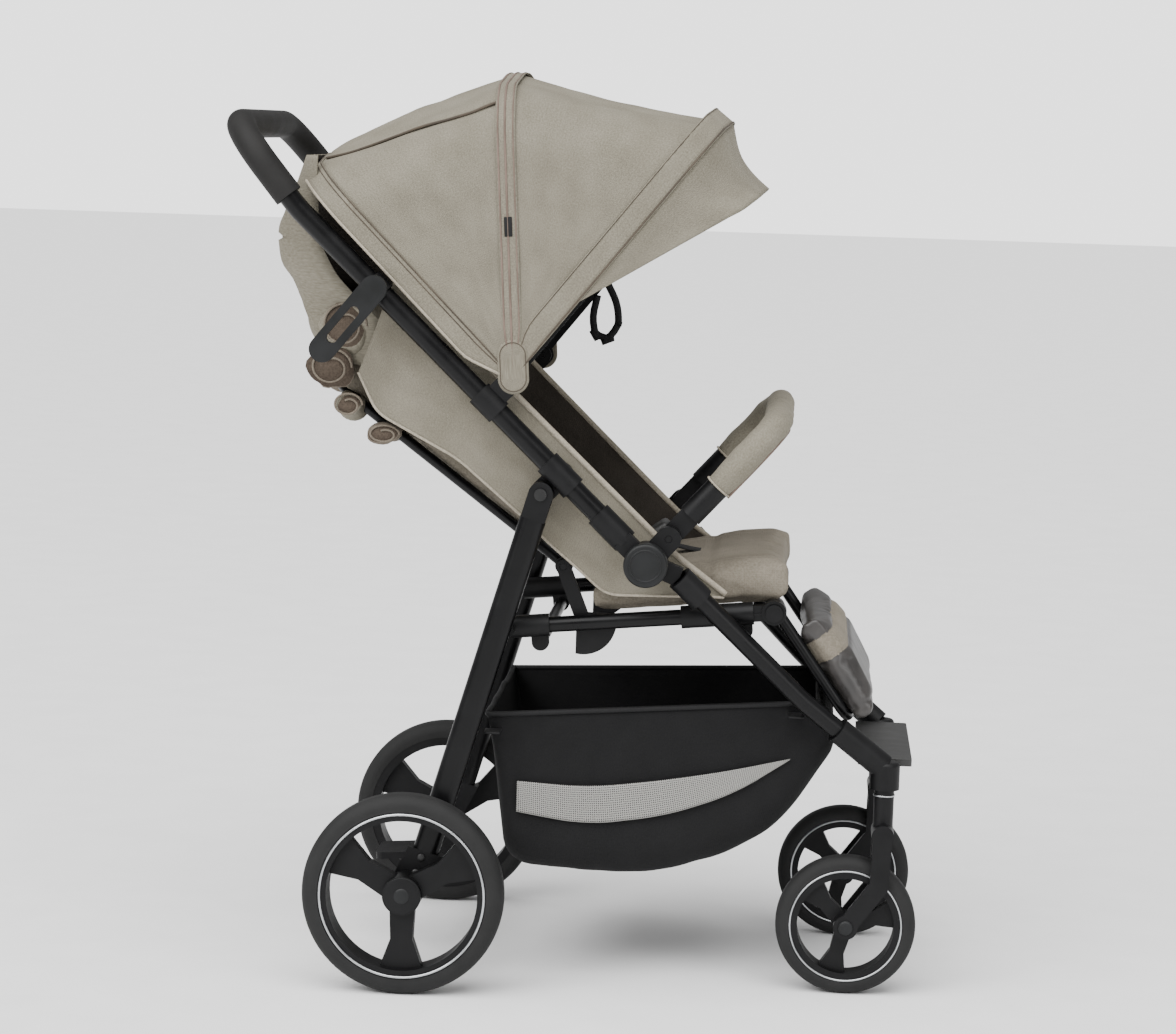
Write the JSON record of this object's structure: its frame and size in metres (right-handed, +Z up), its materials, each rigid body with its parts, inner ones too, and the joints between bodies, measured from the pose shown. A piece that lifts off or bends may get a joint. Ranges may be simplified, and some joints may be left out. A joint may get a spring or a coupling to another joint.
{
  "type": "baby stroller",
  "caption": "Folding baby stroller with taupe canopy and reclining seat on a black tube frame, leg rest, bumper bar, under-seat basket, swivel front wheels and large rear wheels",
  "frame": {"origin": "on the floor, in the middle of the stroller's length and width, with the frame open for use", "axes": "+X forward, +Y to the stroller's left, +Z up"},
  "size_m": [0.815, 0.526, 1.0437],
  "materials": {
    "frame_black": "satin black powder coat",
    "plastic_black": "fine-textured black plastic",
    "plastic_grey": "dark grey plastic",
    "canvas_taupe": "woven taupe canvas",
    "mesh_black": "black basket fabric",
    "leatherette_grey": "dark grey wipe-clean leatherette",
    "grip_foam": "black foam grip",
    "tyre_black": "black foam-filled tyre",
    "steel": "zinc-plated steel",
    "rivet_black": "black rivet"
  },
  "bodies": {
    "front_frame": {"front_leg_right": "frame_black", "front_leg_left": "frame_black", "hub_lower_right": "plastic_black", "hub_lower_left": "plastic_black", "front_knuckle_right": "plastic_black", "front_knuckle_left": "plastic_black", "front_cross_tube": "frame_black", "footrest": "plastic_grey", "basket": "mesh_black"},
    "push_frame": {"push_tube": "frame_black", "handle_grip": "grip_foam", "hub_upper_right": "plastic_black", "hub_upper_left": "plastic_black", "hub_caps": "plastic_black", "leg_brackets": "plastic_black", "leg_rivets": "rivet_black", "tube_clamps": "plastic_black", "canopy_rear_rib": "plastic_black", "canopy_rear_curtain": "canvas_taupe", "side_wings": "canvas_taupe"},
    "rear_legs": {"rear_knuckle_right": "plastic_black", "rear_knuckle_left": "plastic_black", "rear_leg_right": "frame_black", "rear_leg_left": "frame_black", "axle_housing_right": "plastic_black", "axle_housing_left": "plastic_black", "rear_axle": "steel"},
    "brake": {"brake_pedal": "plastic_black"},
    "seat_frame": {"seat_rail_right": "frame_black", "seat_rail_left": "frame_black", "rail_sleeves": "plastic_black", "seat_crossbars": "frame_black", "recline_brackets": "plastic_grey", "seat_pad": "canvas_taupe"},
    "backrest": {"backrest_frame": "frame_black", "backrest_pad": "canvas_taupe"},
    "legrest": {"legrest_frame": "frame_black", "legrest_pad": "leatherette_grey"},
    "bumper": {"bumper_arms": "plastic_black", "bumper_bar": "frame_black", "bumper_cover": "canvas_taupe"},
    "canopy_mid": {"canopy_mid_rib": "plastic_black", "canopy_rear_panel": "canvas_taupe"},
    "canopy_front": {"canopy_front_rib": "plastic_black", "canopy_front_panel": "canvas_taupe"},
    "canopy_visor": {"canopy_visor_rib": "plastic_black", "canopy_visor": "canvas_taupe"},
    "hook": {"transport_hook": "plastic_grey"},
    "button_right": {"legrest_button_right": "plastic_black"},
    "caster_right": {"fork_right": "plastic_black"},
    "front_wheel_right": {"front_tyre_right": "tyre_black", "front_rim_right": "plastic_black"},
    "rear_wheel_right": {"rear_tyre_right": "tyre_black", "rear_rim_right": "plastic_black"},
    "button_left": {"legrest_button_left": "plastic_black"},
    "caster_left": {"fork_left": "plastic_black"},
    "front_wheel_left": {"front_tyre_left": "tyre_black", "front_rim_left": "plastic_black"},
    "rear_wheel_left": {"rear_tyre_left": "tyre_black", "rear_rim_left": "plastic_black"}
  },
  "joints": [
    {"name": "fold", "type": "hinge", "parent": "front_frame", "child": "push_frame", "pos_m": [0.08654, 0, 0.498], "axis": [0, -1, 0], "range_deg": [0, 120], "deforming": ["basket", "side_wings", "canopy_rear_curtain"]},
    {"name": "rear_leg_fold", "type": "hinge", "parent": "push_frame", "child": "rear_legs", "pos_m": [-0.03446, 0, 0.572], "axis": [0, -1, 0], "range_deg": [-87, 0]},
    {"name": "seat_fold", "type": "hinge", "parent": "front_frame", "child": "seat_frame", "pos_m": [0.16554, 0, 0.43654], "axis": [0, -1, 0], "range_deg": [0, 75.6]},
    {"name": "backrest_recline", "type": "hinge", "parent": "seat_frame", "child": "backrest", "pos_m": [-0.01046, 0, 0.484], "axis": [0, 1, 0], "range_deg": [-22, 28]},
    {"name": "legrest_tilt", "type": "hinge", "parent": "seat_frame", "child": "legrest", "pos_m": [0.23214, 0, 0.443], "axis": [0, -1, 0], "range_deg": [0, 50]},
    {"name": "bumper_swing", "type": "hinge", "parent": "front_frame", "child": "bumper", "pos_m": [0.11054, 0, 0.526], "axis": [0, -1, 0], "range_deg": [-30, 25]},
    {"name": "canopy_fold", "type": "hinge", "parent": "push_frame", "child": "canopy_mid", "pos_m": [-0.06896, 0, 0.701], "axis": [0, -1, 0], "range_deg": [0, 38], "deforming": ["canopy_rear_panel"]},
    {"name": "canopy_front_fold", "type": "hinge", "parent": "canopy_mid", "child": "canopy_front", "pos_m": [-0.06896, 0, 0.701], "axis": [0, -1, 0], "range_deg": [0, 38], "deforming": ["canopy_front_panel"]},
    {"name": "canopy_visor_fold", "type": "hinge", "parent": "canopy_front", "child": "canopy_visor", "pos_m": [-0.06896, 0, 0.701], "axis": [0, -1, 0], "range_deg": [0, 9.5], "deforming": ["canopy_visor"]},
    {"name": "brake_press", "type": "hinge", "parent": "rear_legs", "child": "brake", "pos_m": [-0.17546, 0, 0.115], "axis": [0, -1, 0], "range_deg": [0, 18]},
    {"name": "hook_swing", "type": "hinge", "parent": "push_frame", "child": "hook", "pos_m": [-0.2265, -0.232, 0.79715], "axis": [0, -1, 0], "range_deg": [0, 60]},
    {"name": "legrest_button_right_press", "type": "slide", "parent": "seat_frame", "child": "button_right", "axis": [0, 1, 0], "range_m": [0, 0.0035], "stiffness_N_per_m": 1500, "springref_m": -0.002},
    {"name": "caster_right_swivel", "type": "hinge", "parent": "front_frame", "child": "caster_right", "pos_m": [0.36554, -0.148, 0.272], "axis": [0, 0, 1], "continuous": true},
    {"name": "front_wheel_right_spin", "type": "hinge", "parent": "caster_right", "child": "front_wheel_right", "pos_m": [0.32694, -0.148, 0.0806], "axis": [0, 1, 0], "continuous": true},
    {"name": "rear_wheel_right_spin", "type": "hinge", "parent": "rear_legs", "child": "rear_wheel_right", "pos_m": [-0.17546, -0.244, 0.115], "axis": [0, 1, 0], "continuous": true},
    {"name": "legrest_button_left_press", "type": "slide", "parent": "seat_frame", "child": "button_left", "axis": [0, -1, 0], "range_m": [0, 0.0035], "stiffness_N_per_m": 1500, "springref_m": -0.002},
    {"name": "caster_left_swivel", "type": "hinge", "parent": "front_frame", "child": "caster_left", "pos_m": [0.36554, 0.148, 0.272], "axis": [0, 0, 1], "continuous": true},
    {"name": "front_wheel_left_spin", "type": "hinge", "parent": "caster_left", "child": "front_wheel_left", "pos_m": [0.32694, 0.148, 0.0806], "axis": [0, 1, 0], "continuous": true},
    {"name": "rear_wheel_left_spin", "type": "hinge", "parent": "rear_legs", "child": "rear_wheel_left", "pos_m": [-0.17546, 0.244, 0.115], "axis": [0, 1, 0], "continuous": true}
  ],
  "couplings": [
    {"joint": "rear_leg_fold", "follows": "fold", "ratio": -0.725},
    {"joint": "seat_fold", "follows": "fold", "ratio": 0.63},
    {"joint": "canopy_front_fold", "follows": "canopy_fold", "ratio": 1},
    {"joint": "canopy_visor_fold", "follows": "canopy_fold", "ratio": 0.25}
  ]
}
